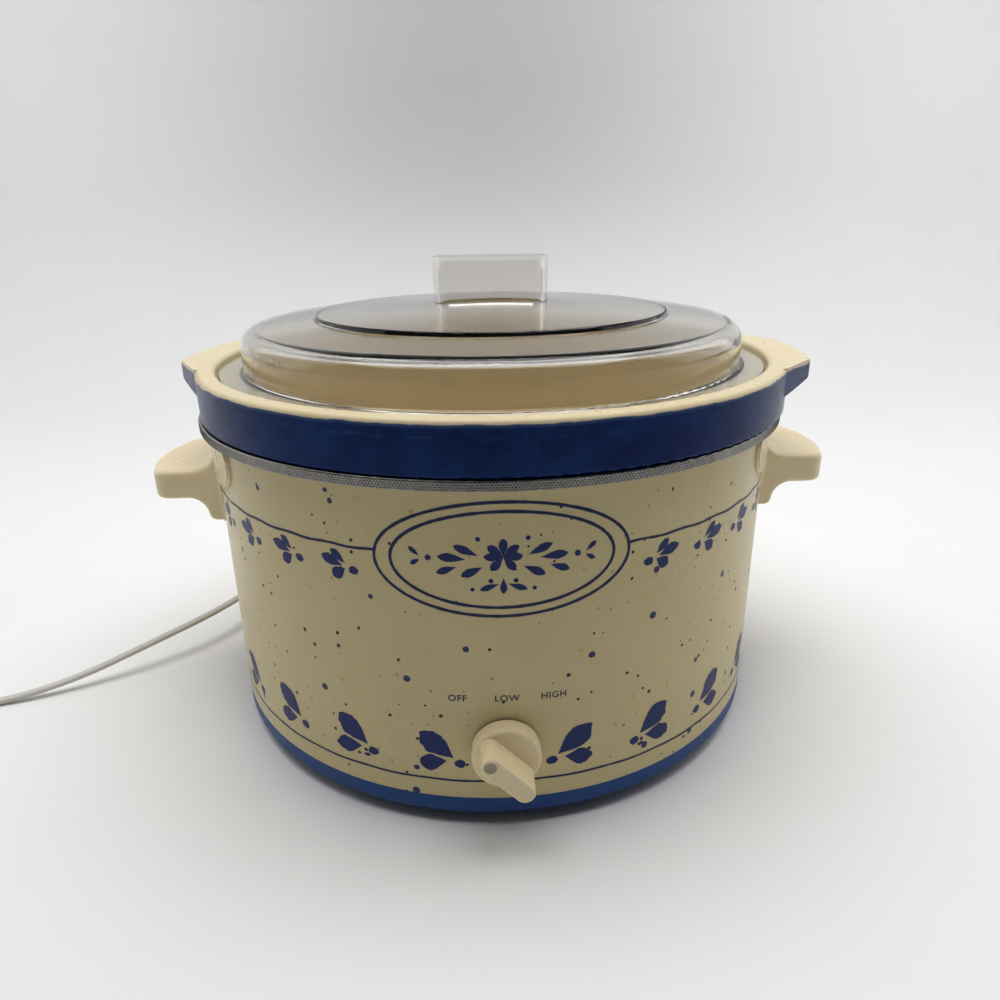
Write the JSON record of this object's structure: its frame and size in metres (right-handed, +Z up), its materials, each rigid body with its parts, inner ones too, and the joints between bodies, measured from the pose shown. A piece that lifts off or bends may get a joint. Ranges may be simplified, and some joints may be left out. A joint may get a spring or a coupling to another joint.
{
  "type": "slow cooker",
  "caption": "Round slow cooker: lift-out glazed crock and clear lid on a heated base with side handles, a rotary heat switch and a mains cord.",
  "frame": {"origin": "on the pot's axis, in the plane of the feet's undersides", "axes": "+Z up along the pot's axis, -Y towards the front (control knob), +X towards the right-hand handle as seen from the front"},
  "size_m": [0.5199, 0.3678, 0.2192],
  "materials": {
    "enamel_cream": "cream enamel with blue speckles and printed ornament",
    "blue_plastic": "blue phenolic moulding, satin",
    "cream_plastic": "cream phenolic moulding, satin",
    "foot_rubber": "matte",
    "zinc_steel": "zinc-coated sheet, dull",
    "screw_steel": "zinc plated",
    "bright_trim": "bright knurled sheet",
    "heater_foil": "foil-faced heating band",
    "terminal_metal": "bare",
    "glass_wool": "felted glass wool",
    "switch_black": "moulded phenolic",
    "lead_black": "silicone sleeve",
    "lead_white": "silicone sleeve",
    "lead_red": "silicone sleeve",
    "lead_yellow": "silicone sleeve",
    "splice_nylon": "crimp sleeve",
    "glazed_stoneware": "opaque glazed stoneware: blue outside, cream rim and inside",
    "clear_lid": "clear, slightly smoky plastic",
    "cord_vinyl": "flat vinyl cord, dull",
    "tie_wire": "plastic-covered wire tie"
  },
  "bodies": {
    "base": {"outer_shell": "enamel_cream", "base_ring": "blue_plastic", "feet": "foot_rubber", "bottom_cover": "zinc_steel", "cover_screws": "screw_steel", "trim_ring": "bright_trim", "inner_pan": "zinc_steel", "centre_stud": "screw_steel", "spacer_tube": "zinc_steel", "centre_washer": "screw_steel", "centre_nut": "screw_steel", "heating_band": "heater_foil", "heater_terminals": "terminal_metal", "band_strap": "zinc_steel", "strap_screw": "screw_steel", "strap_nut": "screw_steel", "insulation_blanket": "glass_wool", "switch_body": "switch_black", "switch_terminals": "terminal_metal", "switch_washer": "screw_steel", "switch_nut": "screw_steel", "lead_live": "lead_black", "lead_neutral": "lead_white", "lead_low": "lead_red", "lead_high": "lead_yellow", "cord_splices": "splice_nylon", "left_handle": "cream_plastic", "right_handle": "cream_plastic", "handle_screws": "screw_steel", "handle_washers": "screw_steel", "strain_relief": "cord_vinyl", "power_cord": "cord_vinyl", "cord_coil": "cord_vinyl", "cord_tie": "tie_wire", "plug_body": "cord_vinyl", "plug_blades": "terminal_metal"},
    "knob": {"switch_shaft": "screw_steel", "control_knob": "cream_plastic", "knob_clip": "screw_steel"},
    "crock": {"stoneware_crock": "glazed_stoneware"},
    "lid": {"lid": "clear_lid"}
  },
  "joints": [
    {"name": "knob_turn", "type": "hinge", "parent": "base", "child": "knob", "pos_m": [0, -0.14, 0.039], "axis": [0, 1, 0], "range_deg": [0, 90]},
    {"name": "crock_lift", "type": "slide", "parent": "base", "child": "crock", "axis": [0, 0, 1], "range_m": [0, 0.13]},
    {"name": "lid_lift", "type": "slide", "parent": "crock", "child": "lid", "axis": [0, 0, 1], "range_m": [0, 0.08]}
  ]
}
